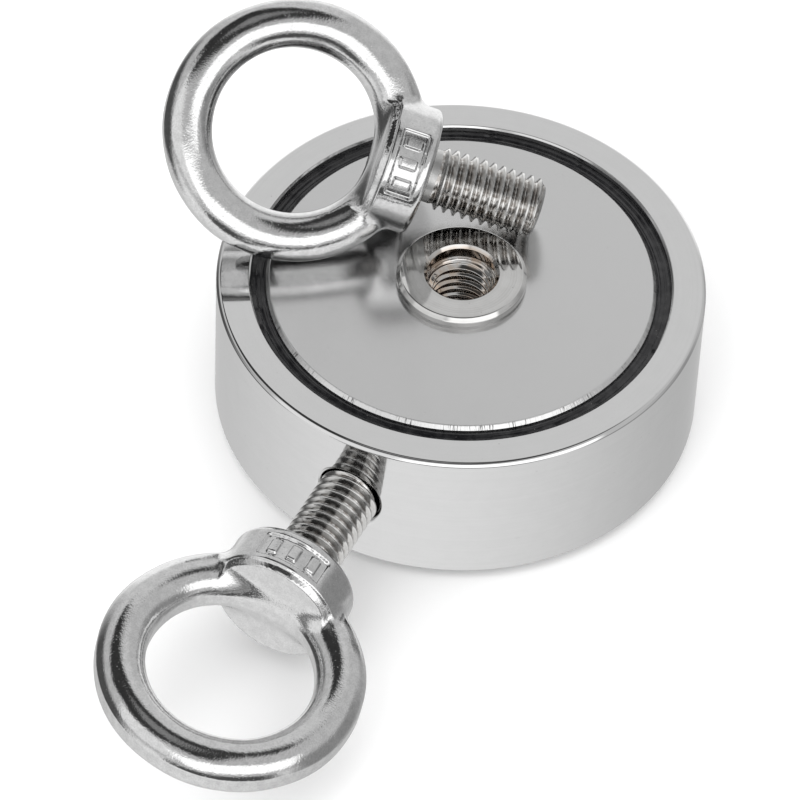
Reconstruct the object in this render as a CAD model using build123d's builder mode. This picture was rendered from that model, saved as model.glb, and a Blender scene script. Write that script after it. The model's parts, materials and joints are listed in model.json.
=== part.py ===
from build123d import *
import math
import os

os.makedirs("parts", exist_ok=True)

# Double-sided pot magnet with two eyebolts. Millimetres and degrees.
# Frame: +Z runs up the pot's axis and the side eyebolt points along -Y.
# The origin is on the pot's axis, where the upper bush's threaded wall begins.

# Pot
pot_d = 75.0
pot_h = 25.0
pot_wall = 5.25
rim_outer_chamfer = 0.5
rim_inner_chamfer = 0.3
seat_partition = 2.3

# Magnets, their adhesive and their potting
magnet_t = 5.0
magnet_recess = 0.2
magnet_chamfer = 0.6
film_t = 0.15
seal_w = 2.3
seal_recess = 1.0
seal_groove_w = 0.9
seal_groove_depth = 0.25
bore_potting_w = 0.5

# Flanged threaded bushes
flange_d = 20.0
flange_proud = 1.8
flange_chamfer = 0.6
flange_relief = 0.3
sleeve_d = 14.0
entry_clearance = 0.6
entry_depth = 2.5
entry_chamfer = 0.5

# Thread that the eyebolts and the bushes share
nominal_d = 10.0
thread_pitch = 1.5

# Eyebolts
thread_allowance = 0.2
thread_depth = 0.85
thread_crest = 0.2
shank_len = 18.5
neck_len = 2.0
neck_relief = 1.4
collar_d = 20.0
collar_t = 7.0
collar_edge = 0.8
collar_to_ring = 21.0
eye_d = 25.0
bar_d = 7.8

# Side hole and the side eyebolt's place in it
side_hole_clearance = 0.08
side_hole_depth = 19.5
side_hole_sink = 0.9
side_engaged = 1.7
side_roll = 9.0

# Loose eyebolt, lying on the upper magnet
rest_gap = 0.3
flange_gap = 0.75
loose_azimuth = 17.8
loose_foot = 29.3

# Worked out from the sizes above
pot_r = pot_d / 2
pocket_r = pot_r - pot_wall
magnet_r = pocket_r - seal_w
sleeve_r = sleeve_d / 2
magnet_bore_r = sleeve_r + bore_potting_w
flange_r = flange_d / 2
thread_r = (nominal_d - thread_allowance) / 2
neck_r = thread_r - neck_relief / 2
tapped_r = (nominal_d - thread_pitch) / 2
entry_r = (nominal_d + entry_clearance) / 2
collar_r = collar_d / 2
bar_r = bar_d / 2
ring_r = eye_d / 2 + bar_r
side_hole_r = thread_r + side_hole_clearance
tip_station = collar_to_ring + shank_len
thread_flank = (thread_pitch - thread_crest) / 2

half_h = pot_h / 2
magnet_face = half_h - magnet_recess
magnet_back = magnet_face - magnet_t
pocket_floor = magnet_back - film_t
seal_top = half_h - seal_recess
flange_top = magnet_face + flange_proud
seat_floor = seat_partition / 2
mid_z = entry_depth - flange_top


def upright(outline, side):
    """Stand an (r, height over the mid plane) outline on the upper or lower side."""
    return [(r, mid_z + side * h) for r, h in outline]


def magnet_outline():
    """Half section of a magnet: a flat ring with its face's edges broken."""
    return [
        (magnet_bore_r, magnet_back),
        (magnet_r, magnet_back),
        (magnet_r, magnet_face - magnet_chamfer),
        (magnet_r - magnet_chamfer, magnet_face),
        (magnet_bore_r, magnet_face),
    ]


def film_outline():
    """Half section of the adhesive film between a magnet and its pocket's floor."""
    return [
        (magnet_bore_r, pocket_floor),
        (magnet_r, pocket_floor),
        (magnet_r, magnet_back),
        (magnet_bore_r, magnet_back),
    ]


def seal_outline():
    """Half section of the potting ring, with a shallow valley run round its top."""
    mid = (magnet_r + pocket_r) / 2
    return [
        (magnet_r, pocket_floor),
        (pocket_r, pocket_floor),
        (pocket_r, seal_top),
        (mid + seal_groove_w / 2, seal_top),
        (mid, seal_top - seal_groove_depth),
        (mid - seal_groove_w / 2, seal_top),
        (magnet_r, seal_top),
    ]


def bore_potting_outline():
    """Half section of the potting between a magnet's bore and the bush's sleeve."""
    return [
        (sleeve_r, pocket_floor),
        (magnet_bore_r, pocket_floor),
        (magnet_bore_r, magnet_face),
        (sleeve_r, magnet_face),
    ]


def bush_outline():
    """Half section of a flanged bush: entry, tapped bore, sleeve and flange."""
    return [
        (tapped_r, seat_floor),
        (sleeve_r, seat_floor),
        (sleeve_r, magnet_face),
        (flange_r - flange_relief, magnet_face),
        (flange_r, magnet_face + flange_relief),
        (flange_r, flange_top - flange_chamfer),
        (flange_r - flange_chamfer, flange_top),
        (entry_r + entry_chamfer, flange_top),
        (entry_r, flange_top - entry_chamfer),
        (entry_r, flange_top - entry_depth),
        (tapped_r, flange_top - entry_depth),
    ]


def pot_outline():
    """Half section of the pot: an outer wall, a web and a bush seat in each side."""
    upper = [
        (0, seat_floor),
        (sleeve_r, seat_floor),
        (sleeve_r, pocket_floor),
        (pocket_r, pocket_floor),
        (pocket_r, half_h - rim_inner_chamfer),
        (pocket_r + rim_inner_chamfer, half_h),
        (pot_r - rim_outer_chamfer, half_h),
        (pot_r, half_h - rim_outer_chamfer),
    ]
    lower = [(r, -h) for r, h in reversed(upper)]
    return upper + lower


def shank_outline():
    """Half section of the threaded shank: neck, then one ridge to each pitch."""
    root_r = thread_r - thread_depth
    ridges = int((shank_len - neck_len) / thread_pitch)
    start = tip_station - ridges * thread_pitch
    outline = [(collar_to_ring, 0), (collar_to_ring, neck_r), (start, neck_r)]
    for index in range(ridges):
        foot = start + index * thread_pitch
        outline.append((foot, root_r))
        outline.append((foot + thread_flank, thread_r))
        outline.append((foot + thread_flank + thread_crest, thread_r))
    return outline + [(tip_station, root_r), (tip_station, 0)]


def eyebolt(seat):
    """Build an eyebolt whose ring is centred on the seat plane and points along its X."""
    axis = Axis(seat.origin, seat.x_dir)
    with BuildPart() as bolt:
        with BuildSketch(Plane(seat.origin + seat.x_dir * ring_r, x_dir=seat.x_dir, z_dir=seat.y_dir)):
            Circle(bar_r)
        revolve(axis=Axis(seat.origin, seat.z_dir))
        with BuildSketch(seat):
            with BuildLine():
                Polyline(
                    (collar_to_ring - collar_t, 0),
                    (collar_to_ring - collar_t, collar_r - collar_edge),
                    (collar_to_ring - collar_t + collar_edge, collar_r),
                    (collar_to_ring - collar_edge, collar_r),
                    (collar_to_ring, collar_r - collar_edge),
                    (collar_to_ring, 0),
                    close=True,
                )
            make_face()
        revolve(axis=axis)
        with BuildSketch(seat):
            with BuildLine():
                Polyline(*shank_outline(), close=True)
            make_face()
        revolve(axis=axis)
    return bolt


def loose_seat():
    """Plane of the loose eyebolt's ring, which lies on its collar, thread and ring.

    A line along the underside touches the collar and the thread's end, which gives the
    dip. The ring then leans over until its bar comes down to the same level.
    """
    collar_station = collar_to_ring - collar_edge
    thread_station = tip_station - thread_flank
    dip = math.atan((collar_r - thread_r) / (thread_station - collar_station))
    drop = collar_station * math.sin(dip) + collar_r * math.cos(dip)
    lean = math.asin(min((drop - bar_r) / ring_r, 1))
    roll = -math.acos(math.cos(lean) / math.cos(dip))
    centre_h = magnet_face + rest_gap + drop

    # Move aside until the thread clears the flange of the bush all along its length
    reach = thread_r + flange_gap
    offset = 0.0
    for step in range(int(shank_len) + 1):
        station = collar_to_ring + step
        over = max(centre_h - station * math.sin(dip) - flange_top, 0)
        beside = math.sqrt(max(reach * reach - over * over, 0))
        needed = flange_r - flange_chamfer + beside if beside else 0
        along = (station - loose_foot) * math.cos(dip)
        offset = max(offset, math.sqrt(max(needed * needed - along * along, 0)))

    turn = math.radians(loose_azimuth)
    ahead = Vector(math.cos(turn), math.sin(turn), 0)
    aside = Vector(-math.sin(turn), math.cos(turn), 0)
    axis = ahead * math.cos(dip) - Vector(0, 0, math.sin(dip))
    normal = axis.cross(aside) * math.cos(roll) + aside * math.sin(roll)
    centre = aside * offset - ahead * (loose_foot * math.cos(dip))
    centre = centre + Vector(0, 0, mid_z + centre_h)
    return Plane(centre, x_dir=axis, z_dir=normal)


def side_seat():
    """Plane of the side eyebolt's ring, on the side hole's axis."""
    reach = pot_r - side_engaged + tip_station
    roll = math.radians(side_roll)
    normal = Vector(math.sin(roll), 0, math.cos(roll))
    return Plane((0, -reach, mid_z), x_dir=(0, 1, 0), z_dir=normal)


# Steel pot: a pocket in each side, a web between them and a blind hole in the wall
with BuildPart() as steel_pot:
    with BuildSketch(Plane.XZ):
        with BuildLine():
            Polyline(*upright(pot_outline(), 1), close=True)
        make_face()
    revolve(axis=Axis.Z)
    with Locations(Plane((0, -pot_r, mid_z), x_dir=(1, 0, 0), z_dir=(0, -1, 0))):
        CounterSinkHole(side_hole_r, side_hole_r + side_hole_sink, side_hole_depth, 90)
steel_pot.part.label = "steel_pot"
export_step(steel_pot.part, "parts/steel_pot.step")

# Everything that both sides of the pot have: one ring of each outline
ring_pieces = {
    "magnet": magnet_outline(),
    "adhesive_film": film_outline(),
    "seal_ring": seal_outline(),
    "bore_potting": bore_potting_outline(),
    "bush": bush_outline(),
}
for side_name, side in (("upper", 1), ("lower", -1)):
    for piece_name, outline in ring_pieces.items():
        with BuildPart() as ring_piece:
            with BuildSketch(Plane.XZ):
                with BuildLine():
                    Polyline(*upright(outline, side), close=True)
                make_face()
            revolve(axis=Axis.Z)
        ring_piece.part.label = f"{side_name}_{piece_name}"
        export_step(ring_piece.part, f"parts/{ring_piece.part.label}.step")

# Eyebolts: one begun in the side hole and one lying on the upper face
side_eyebolt = eyebolt(side_seat())
side_eyebolt.part.label = "side_eyebolt"
export_step(side_eyebolt.part, "parts/side_eyebolt.step")

loose_eyebolt = eyebolt(loose_seat())
loose_eyebolt.part.label = "loose_eyebolt"
export_step(loose_eyebolt.part, "parts/loose_eyebolt.step")
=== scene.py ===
"""Looks of a two-sided fishing magnet with one eyebolt in its side hole and one lying on top.

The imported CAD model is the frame. Each piece made here stands for the CAD node that it
replaces, lies in that node's place and rides on its body. Sizes are in millimetres, and
meshes are written in metres.
"""

import json
import logging
import math
from abc import ABC, abstractmethod
from dataclasses import dataclass, field
from enum import Enum
from typing import Any, Callable, Sequence

import bmesh
import bpy
import numpy as np
from mathutils import Matrix, Vector


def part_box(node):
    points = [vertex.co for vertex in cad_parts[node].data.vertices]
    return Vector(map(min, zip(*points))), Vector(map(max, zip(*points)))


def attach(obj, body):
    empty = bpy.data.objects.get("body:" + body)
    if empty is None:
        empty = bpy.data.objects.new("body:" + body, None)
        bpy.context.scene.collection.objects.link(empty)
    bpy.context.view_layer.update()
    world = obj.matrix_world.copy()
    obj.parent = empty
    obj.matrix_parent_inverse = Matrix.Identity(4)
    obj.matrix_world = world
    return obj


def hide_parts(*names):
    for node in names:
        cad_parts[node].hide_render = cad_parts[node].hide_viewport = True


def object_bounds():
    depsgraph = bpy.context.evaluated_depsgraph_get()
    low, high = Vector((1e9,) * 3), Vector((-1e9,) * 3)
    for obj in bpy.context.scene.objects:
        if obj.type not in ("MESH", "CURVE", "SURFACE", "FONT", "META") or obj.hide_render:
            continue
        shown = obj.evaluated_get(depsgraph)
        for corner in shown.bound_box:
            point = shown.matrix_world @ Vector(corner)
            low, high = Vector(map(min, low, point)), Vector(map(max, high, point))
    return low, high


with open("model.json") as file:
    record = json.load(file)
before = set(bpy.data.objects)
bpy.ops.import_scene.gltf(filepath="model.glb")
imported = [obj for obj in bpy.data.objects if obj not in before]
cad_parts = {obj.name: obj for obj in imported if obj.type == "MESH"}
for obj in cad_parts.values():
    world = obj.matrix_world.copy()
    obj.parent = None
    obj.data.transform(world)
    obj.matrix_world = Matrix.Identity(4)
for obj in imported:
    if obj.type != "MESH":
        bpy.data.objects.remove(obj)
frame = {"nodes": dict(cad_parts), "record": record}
CAD_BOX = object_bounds()

MM = 0.001
ARC_STEP = math.radians(12)
SAME_SPOT = 1e-7
NO_LENGTH = 1e-9
FLAT_SLOPE = 1e-12
NEWTON_PASSES = 4
SLOPE_STEP = 0.004
TIP_SHARE = 0.97
AIM_PASSES = 3
NOISE_ROUGHNESS = 0.55
OWN_PLACE = "own_place"

Colour = tuple[float, float, float]
Field = Callable[[np.ndarray], np.ndarray]
log = logging.getLogger("magnet")


# Node trees


class Signal:
    """A socket of a node tree; arithmetic on a value adds Math nodes."""

    def __init__(self, tree: "NodeTree", socket: bpy.types.NodeSocket) -> None:
        """Wraps one socket of a tree."""
        self.tree = tree
        self.socket = socket

    def maths(self, operation: str, *values: "Signal | float") -> "Signal":
        """Adds a Math node.

        Args:
            operation: the node's operation.
            *values: what goes into its sockets, in their order.

        Returns:
            The node's result.
        """
        sockets = dict(zip(("Value", "Value_001", "Value_002"), values))
        return self.tree.add("ShaderNodeMath", {"operation": operation}, sockets)

    def __add__(self, other: "Signal | float") -> "Signal":
        """Sum."""
        return self.maths("ADD", self, other)

    __radd__ = __add__

    def __sub__(self, other: "Signal | float") -> "Signal":
        """Difference."""
        return self.maths("SUBTRACT", self, other)

    def __rsub__(self, other: float) -> "Signal":
        """Difference from a number."""
        return self.maths("SUBTRACT", other, self)

    def __mul__(self, other: "Signal | float") -> "Signal":
        """Product."""
        return self.maths("MULTIPLY", self, other)

    __rmul__ = __mul__

    def __truediv__(self, other: "Signal | float") -> "Signal":
        """Quotient."""
        return self.maths("DIVIDE", self, other)

    def __pow__(self, power: float) -> "Signal":
        """Power."""
        return self.maths("POWER", self, power)

    def __abs__(self) -> "Signal":
        """Size without its sign."""
        return self.maths("ABSOLUTE", self)

    def ramp(self, start: float, end: float) -> "Signal":
        """Goes smoothly from 0 at start to 1 at end; start may be the larger."""
        sockets = {"Value": self, "From Min": start, "From Max": end}
        return self.tree.add("ShaderNodeMapRange", {"interpolation_type": "SMOOTHSTEP"}, sockets)


class NodeTree:
    """Adds nodes to a material's or a world's tree."""

    def __init__(self, tree: bpy.types.NodeTree) -> None:
        """Takes a tree and empties it."""
        self.tree = tree
        self.tree.nodes.clear()

    @staticmethod
    def _socket(sockets: Any, key: "str | int") -> bpy.types.NodeSocket:
        """Finds a socket by its number, its identifier or its name.

        Args:
            sockets: a node's inputs or outputs.
            key: the number, identifier or name.

        Returns:
            The socket.
        """
        if isinstance(key, int):
            return sockets[key]
        return next(s for s in sockets if key in (s.identifier, s.name))

    def add(
        self,
        kind: str,
        settings: "dict[str, Any] | None" = None,
        inputs: "dict[str, Any] | None" = None,
        output: "str | int" = 0,
    ) -> Signal:
        """Adds a node, sets it, then fills its sockets.

        Args:
            kind: the node's type.
            settings: its properties.
            inputs: a number, colour, vector or Signal for each socket named.
            output: the socket that is wanted.

        Returns:
            That output.
        """
        node = self.tree.nodes.new(kind)
        for name, value in (settings or {}).items():
            setattr(node, name, value)
        for name, value in (inputs or {}).items():
            socket = self._socket(node.inputs, name)
            if isinstance(value, Signal):
                self.tree.links.new(value.socket, socket)
            else:
                socket.default_value = value
        return Signal(self, self._socket(node.outputs, output))

    def finish(self, kind: str, inputs: "dict[str, Signal]") -> None:
        """Adds the output node.

        Args:
            kind: the node's type.
            inputs: a Signal for each socket named.
        """
        node = self.tree.nodes.new(kind)
        for name, value in inputs.items():
            self.tree.links.new(value.socket, self._socket(node.inputs, name))

    def place(self) -> Signal:
        """Where the surface is in the frame, in millimetres."""
        metres = self.add("ShaderNodeTexCoord", output="Object")
        return self.vector("SCALE", {"Vector": metres, "Scale": 1 / MM})

    def own_place(self) -> Signal:
        """Where the surface is along its own piece's axes, in millimetres."""
        return self.add("ShaderNodeAttribute", {"attribute_name": OWN_PLACE}, output="Vector")

    def vector(self, operation: str, inputs: "dict[str, Any]", output: str = "Vector") -> Signal:
        """Adds a Vector Math node."""
        return self.add("ShaderNodeVectorMath", {"operation": operation}, inputs, output)

    def dot(self, a: Signal, b: Sequence[float]) -> Signal:
        """Dot product of a vector with a fixed one."""
        return self.vector("DOT_PRODUCT", {"Vector": a, "Vector_001": tuple(b)}, "Value")

    def parts(self, vector: Signal) -> "tuple[Signal, Signal, Signal]":
        """Takes a vector apart.

        Args:
            vector: the vector.

        Returns:
            Its x, y and z.
        """
        split = self.tree.nodes.new("ShaderNodeSeparateXYZ")
        self.tree.links.new(vector.socket, split.inputs[0])
        x, y, z = (Signal(self, socket) for socket in split.outputs)
        return x, y, z

    def join(self, x: "Signal | float", y: "Signal | float", z: "Signal | float") -> Signal:
        """A vector from three values."""
        return self.add("ShaderNodeCombineXYZ", None, {"X": x, "Y": y, "Z": z})

    def noise(self, vector: Signal, per_mm: float, detail: float = 2.0) -> Signal:
        """Makes a soft random value about 0.5.

        Args:
            vector: where on the surface.
            per_mm: features to a millimetre.
            detail: layers of finer features.

        Returns:
            The value.
        """
        sockets = {"Vector": vector, "Scale": per_mm, "Detail": detail, "Roughness": NOISE_ROUGHNESS}
        return self.add("ShaderNodeTexNoise", None, sockets)

    def cells(self, vector: Signal, per_mm: float) -> Signal:
        """Distance to the nearest of scattered spots, in cell widths."""
        return self.add("ShaderNodeTexVoronoi", None, {"Vector": vector, "Scale": per_mm})

    def mix(self, factor: "Signal | float", a: "Signal | Colour", b: "Signal | Colour") -> Signal:
        """Mixes two colours.

        Args:
            factor: share of the second colour.
            a: the first colour.
            b: the second colour.

        Returns:
            The mixed colour.
        """
        colours = [c if isinstance(c, Signal) else (*c, 1.0) for c in (a, b)]
        sockets = {"Factor_Float": factor, "A_Color": colours[0], "B_Color": colours[1]}
        return self.add("ShaderNodeMix", {"data_type": "RGBA"}, sockets, "Result_Color")


# Finishes


@dataclass
class Look:
    """What a finish works out over a surface.

    Attributes:
        colour: base colour.
        roughness: roughness.
        relief: height of the surface in millimetres.
    """

    colour: Signal
    roughness: Signal
    relief: Signal


@dataclass(frozen=True)
class Finish(ABC):
    """A surface finish.

    Attributes:
        name: the material's name.
        light: its lighter tone.
        dark: its darker tone.
        smooth: its lowest roughness.
        rough: its highest roughness.
    """

    name: str
    light: Colour
    dark: Colour
    smooth: float
    rough: float

    @abstractmethod
    def look(self, tree: NodeTree) -> Look:
        """Works out what varies over the surface."""

    def constants(self) -> "dict[str, Any]":
        """Shader values that are the same all over."""
        return {"Metallic": 1.0}

    def spread(self, share: Signal) -> Signal:
        """Roughness for a share between smooth and rough."""
        return share * (self.rough - self.smooth) + self.smooth

    def material(self) -> bpy.types.Material:
        """Makes the material, or finds it if it is made.

        Returns:
            The Blender material.
        """
        made = bpy.data.materials.get(self.name)
        if made:
            return made
        material = bpy.data.materials.new(self.name)
        material.use_nodes = True
        tree = NodeTree(material.node_tree)
        look = self.look(tree)
        normal = tree.add("ShaderNodeBump", None, {"Distance": MM, "Height": look.relief})
        sockets = {"Base Color": look.colour, "Roughness": look.roughness, "Normal": normal}
        shader = tree.add("ShaderNodeBsdfPrincipled", None, {**sockets, **self.constants()})
        tree.finish("ShaderNodeOutputMaterial", {"Surface": shader})
        return material


@dataclass(frozen=True)
class ForgedSteel(Finish):
    """Forged stainless steel, tumbled and polished, with a fine sparkling grain.

    Attributes:
        grain: size of the grain.
        grain_height: how high it stands.
        band_r: radius past which the ring's trimmed band lies.
        seam_station: where the ring runs into the collar.
        mottle_per_mm: patches of better and worse polish to a millimetre.
        waves_per_mm: long waves to a millimetre.
        wave_height: how high they stand.
        pits_per_mm: pits to a millimetre.
        pit_depth: their depth.
        streaks_round: how fine the band's ground streaks are round the ring.
        streaks_across: how fine they are across it.
        streak_height: how high they stand.
    """

    grain: float = 0.27
    grain_height: float = 0.021
    band_r: float = 19.95
    seam_station: float = 13.6
    mottle_per_mm: float = 0.8
    waves_per_mm: float = 0.22
    wave_height: float = 0.05
    pits_per_mm: float = 1.5
    pit_depth: float = 0.012
    streaks_round: float = 60.0
    streaks_across: float = 0.8
    streak_height: float = 0.006

    def look(self, tree: NodeTree) -> Look:
        """Polish over grain, ground streaks on the band and a rougher seam.

        Args:
            tree: the material's node tree.

        Returns:
            Its colour, roughness and relief.
        """
        place = tree.own_place()
        x, y, z = tree.parts(place)
        out = (x * x + y * y) ** 0.5
        grain = tree.noise(place, 1 / self.grain, 2.5)
        mottle = tree.noise(place, self.mottle_per_mm, 3.0)
        waves = tree.noise(place, self.waves_per_mm, 1.0)
        pits = tree.cells(place, self.pits_per_mm).ramp(0.16, 0.04)
        band = out.ramp(self.band_r - 0.1, self.band_r + 0.1)
        turned_x, turned_y = x / out * self.streaks_round, y / out * self.streaks_round
        streaks = tree.noise(tree.join(turned_x, turned_y, z * self.streaks_across), 1.0, 2.0)
        seam = abs(x - self.seam_station).ramp(2.6, 0.4) * abs(y).ramp(5.0, 8.0)
        rugged = 0.8 + mottle.ramp(0.5, 0.75) * 0.6 + seam * 1.2 - x.ramp(13.5, 14.5) * 0.45
        relief = grain * rugged * self.grain_height + waves * self.wave_height - pits * self.pit_depth
        relief = relief + band * streaks * self.streak_height
        tone = mottle.ramp(0.3, 0.7) * 0.6 + grain.ramp(0.4, 0.62) * 0.4
        share = mottle.ramp(0.35, 0.75) * 0.45 + grain.ramp(0.45, 0.7) * 0.25
        share = share + band * 0.35 + seam * 0.3
        return Look(tree.mix(tone, self.dark, self.light), self.spread(share), relief)


@dataclass(frozen=True)
class RolledThread(Finish):
    """Rolled thread: bright crests and flanks, with painted grey-brown shade in the roots.

    Attributes:
        root_shade: colour of the painted shade in the roots.
        root_r: radius of the roots.
        crest_r: radius of the crests.
        flow_out: how fine the flow lines are outward.
        flow_round: how fine they are round the thread.
        mottle_per_mm: patches of tone to a millimetre.
        relief_height: height of both.
    """

    root_shade: Colour = (0.15, 0.125, 0.105)
    root_r: float = 4.05
    crest_r: float = 4.9
    flow_out: float = 12.0
    flow_round: float = 2.0
    mottle_per_mm: float = 1.3
    relief_height: float = 0.004

    def look(self, tree: NodeTree) -> Look:
        """Flow lines along the thread, and painted shade in its roots.

        Args:
            tree: the material's node tree.

        Returns:
            Its colour, roughness and relief.
        """
        place = tree.own_place()
        _, y, z = tree.parts(place)
        out = (y * y + z * z) ** 0.5
        turned_y, turned_z = y / out * self.flow_round, z / out * self.flow_round
        flow = tree.noise(tree.join(out * self.flow_out, turned_y, turned_z), 1.0, 2.0)
        mottle = tree.noise(place, self.mottle_per_mm, 3.0)
        depth = out.ramp(self.crest_r - 0.25, self.root_r)
        # painted shade: the thread's roots are darkened grey-brown, in patches, where shade falls
        shaded_roots = depth * mottle.ramp(0.35, 0.6)
        tone = flow.ramp(0.3, 0.7) * 0.7 + mottle.ramp(0.35, 0.7) * 0.3
        colour = tree.mix(shaded_roots * 0.75, tree.mix(tone, self.dark, self.light), self.root_shade)
        relief = flow * self.relief_height + mottle * self.relief_height
        share = mottle.ramp(0.3, 0.7) * 0.5 + shaded_roots * 0.5
        return Look(colour, self.spread(share), relief)


@dataclass(frozen=True)
class BlastedNeck(Finish):
    """Matte unthreaded neck of a shank.

    Attributes:
        grain_per_mm: fine pits to a millimetre.
        grain_depth: their depth.
        mottle_per_mm: patches of tone to a millimetre.
    """

    grain_per_mm: float = 5.0
    grain_depth: float = 0.012
    mottle_per_mm: float = 0.9

    def look(self, tree: NodeTree) -> Look:
        """Fine pits over a dull cut surface.

        Args:
            tree: the material's node tree.

        Returns:
            Its colour, roughness and relief.
        """
        place = tree.own_place()
        grain = tree.noise(place, self.grain_per_mm, 3.0)
        mottle = tree.noise(place, self.mottle_per_mm, 2.0)
        colour = tree.mix(mottle.ramp(0.3, 0.7) * 0.5 + grain * 0.5, self.dark, self.light)
        return Look(colour, self.spread(grain.ramp(0.3, 0.7)), grain * self.grain_depth)


@dataclass(frozen=True)
class NickelPlate(Finish):
    """Bright nickel on turned steel: near mirror, with faint turning rings and specks.

    Attributes:
        rings: height of the turning rings.
        waves: height of the long swell under the plating.
        specks: how strongly specks show, from 0 to 1.
        tint: colour of the painted warm shade inside a bore.
        tint_r: radius inside which the painted shade lies, or 0 for none.
        speck_colour: colour of the specks.
        speck_depth: their depth.
        rings_per_mm: turning rings to a millimetre.
        waves_per_mm: long waves to a millimetre.
        haze_per_mm: patches of haze to a millimetre.
        specks_per_mm: places for a speck to a millimetre.
        clusters_per_mm: clusters of specks to a millimetre.
    """

    rings: float = 0.0001
    waves: float = 0.0006
    specks: float = 0.8
    tint: Colour = (0.42, 0.30, 0.20)
    tint_r: float = 0.0
    speck_colour: Colour = (0.2, 0.19, 0.18)
    speck_depth: float = 0.006
    rings_per_mm: float = 5.0
    waves_per_mm: float = 0.16
    haze_per_mm: float = 0.35
    specks_per_mm: float = 0.7
    clusters_per_mm: float = 0.14

    def look(self, tree: NodeTree) -> Look:
        """Turning rings, swell, specks and painted warm shade inside a bore.

        Args:
            tree: the material's node tree.

        Returns:
            Its colour, roughness and relief.
        """
        place = tree.place()
        x, y, z = tree.parts(place)
        out = (x * x + y * y) ** 0.5
        rings = tree.noise(tree.join(out, z, 0.0), self.rings_per_mm, 2.0)
        swell = tree.noise(place, self.waves_per_mm, 1.0)
        haze = tree.noise(place, self.haze_per_mm, 3.0)
        spots = tree.cells(place, self.specks_per_mm).ramp(0.085, 0.03)
        scarce = tree.noise(place, self.clusters_per_mm, 2.0).ramp(0.5, 0.62)
        speck = spots * scarce * self.specks
        # painted shade: a darker, warm tone inside the bore's radius, in hazy patches
        shaded_bore = out.ramp(self.tint_r + 0.3, self.tint_r - 0.3) * haze.ramp(0.35, 0.6) * 0.55
        tone = rings.ramp(0.3, 0.7) * 0.5 + haze.ramp(0.3, 0.7) * 0.5
        plate = tree.mix(tone, self.dark, self.light)
        plate = tree.mix(speck * 0.5, plate, self.speck_colour)
        colour = tree.mix(shaded_bore, plate, self.tint)
        relief = rings * self.rings + swell * self.waves - speck * self.speck_depth
        share = haze.ramp(0.35, 0.7) * 0.6 + rings.ramp(0.4, 0.65) * 0.2 + speck
        return Look(colour, self.spread(share), relief)


@dataclass(frozen=True)
class SatinMagnet(Finish):
    """Satin nickel on a sintered magnet: a fine tooth, pits, and a ground, streaky edge with painted dark
    shade in its streaks.

    Attributes:
        edge_r: radius past which the ground edge lies.
        worn: colour of the painted shade in the edge's streaks.
        tooth_per_mm: features of the tooth to a millimetre.
        tooth_height: height of the tooth.
        clouds_per_mm: clouds of tone to a millimetre.
        waves_per_mm: long waves to a millimetre.
        wave_height: how high they stand.
        pits_per_mm: places for a pit to a millimetre.
        clusters_per_mm: clusters of pits to a millimetre.
        pit_depth: depth of the pits.
        streaks_round: how fine the edge's streaks are round it.
        streaks_down: how fine they are down it.
        streak_height: how high they stand.
        patches_round: how fine the patches of painted shade are round the edge.
        patches_down: how fine they are down it.
    """

    edge_r: float = 29.4
    worn: Colour = (0.1, 0.1, 0.1)
    tooth_per_mm: float = 3.5
    tooth_height: float = 0.0005
    clouds_per_mm: float = 0.09
    waves_per_mm: float = 0.1
    wave_height: float = 0.003
    pits_per_mm: float = 0.8
    clusters_per_mm: float = 0.2
    pit_depth: float = 0.008
    streaks_round: float = 110.0
    streaks_down: float = 0.5
    streak_height: float = 0.03
    patches_round: float = 9.0
    patches_down: float = 0.2

    def look(self, tree: NodeTree) -> Look:
        """Tooth and pits on the face, and streaks down the edge with painted shade in them.

        Args:
            tree: the material's node tree.

        Returns:
            Its colour, roughness and relief.
        """
        place = tree.place()
        x, y, z = tree.parts(place)
        out = (x * x + y * y) ** 0.5
        tooth = tree.noise(place, self.tooth_per_mm, 2.0)
        cloud = tree.noise(place, self.clouds_per_mm, 3.0)
        swell = tree.noise(place, self.waves_per_mm, 1.0)
        spots = tree.cells(place, self.pits_per_mm).ramp(0.08, 0.03)
        pits = spots * tree.noise(place, self.clusters_per_mm, 2.0).ramp(0.5, 0.6)
        edge = out.ramp(self.edge_r - 0.02, self.edge_r + 0.06)
        turned_x, turned_y = x / out * self.streaks_round, y / out * self.streaks_round
        streaks = tree.noise(tree.join(turned_x, turned_y, z * self.streaks_down), 1.0, 3.0)
        turned_x, turned_y = x / out * self.patches_round, y / out * self.patches_round
        patches = tree.noise(tree.join(turned_x, turned_y, z * self.patches_down), 1.0, 2.0)
        # painted shade: dark broken streaks along the ground edge, standing in for a thin dark line of
        # shade
        worn = edge * streaks.ramp(0.52, 0.64) * patches.ramp(0.42, 0.58)
        tone = cloud.ramp(0.3, 0.7) * 0.7 + tooth.ramp(0.35, 0.65) * 0.3
        colour = tree.mix(worn * 0.9, tree.mix(tone, self.dark, self.light), self.worn)
        relief = tooth * self.tooth_height + swell * self.wave_height - pits * self.pit_depth
        relief = relief + edge * streaks * self.streak_height
        share = tooth.ramp(0.35, 0.7) * 0.35 + cloud.ramp(0.35, 0.7) * 0.35 + pits + edge * 0.2
        return Look(colour, self.spread(share), relief)


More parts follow.
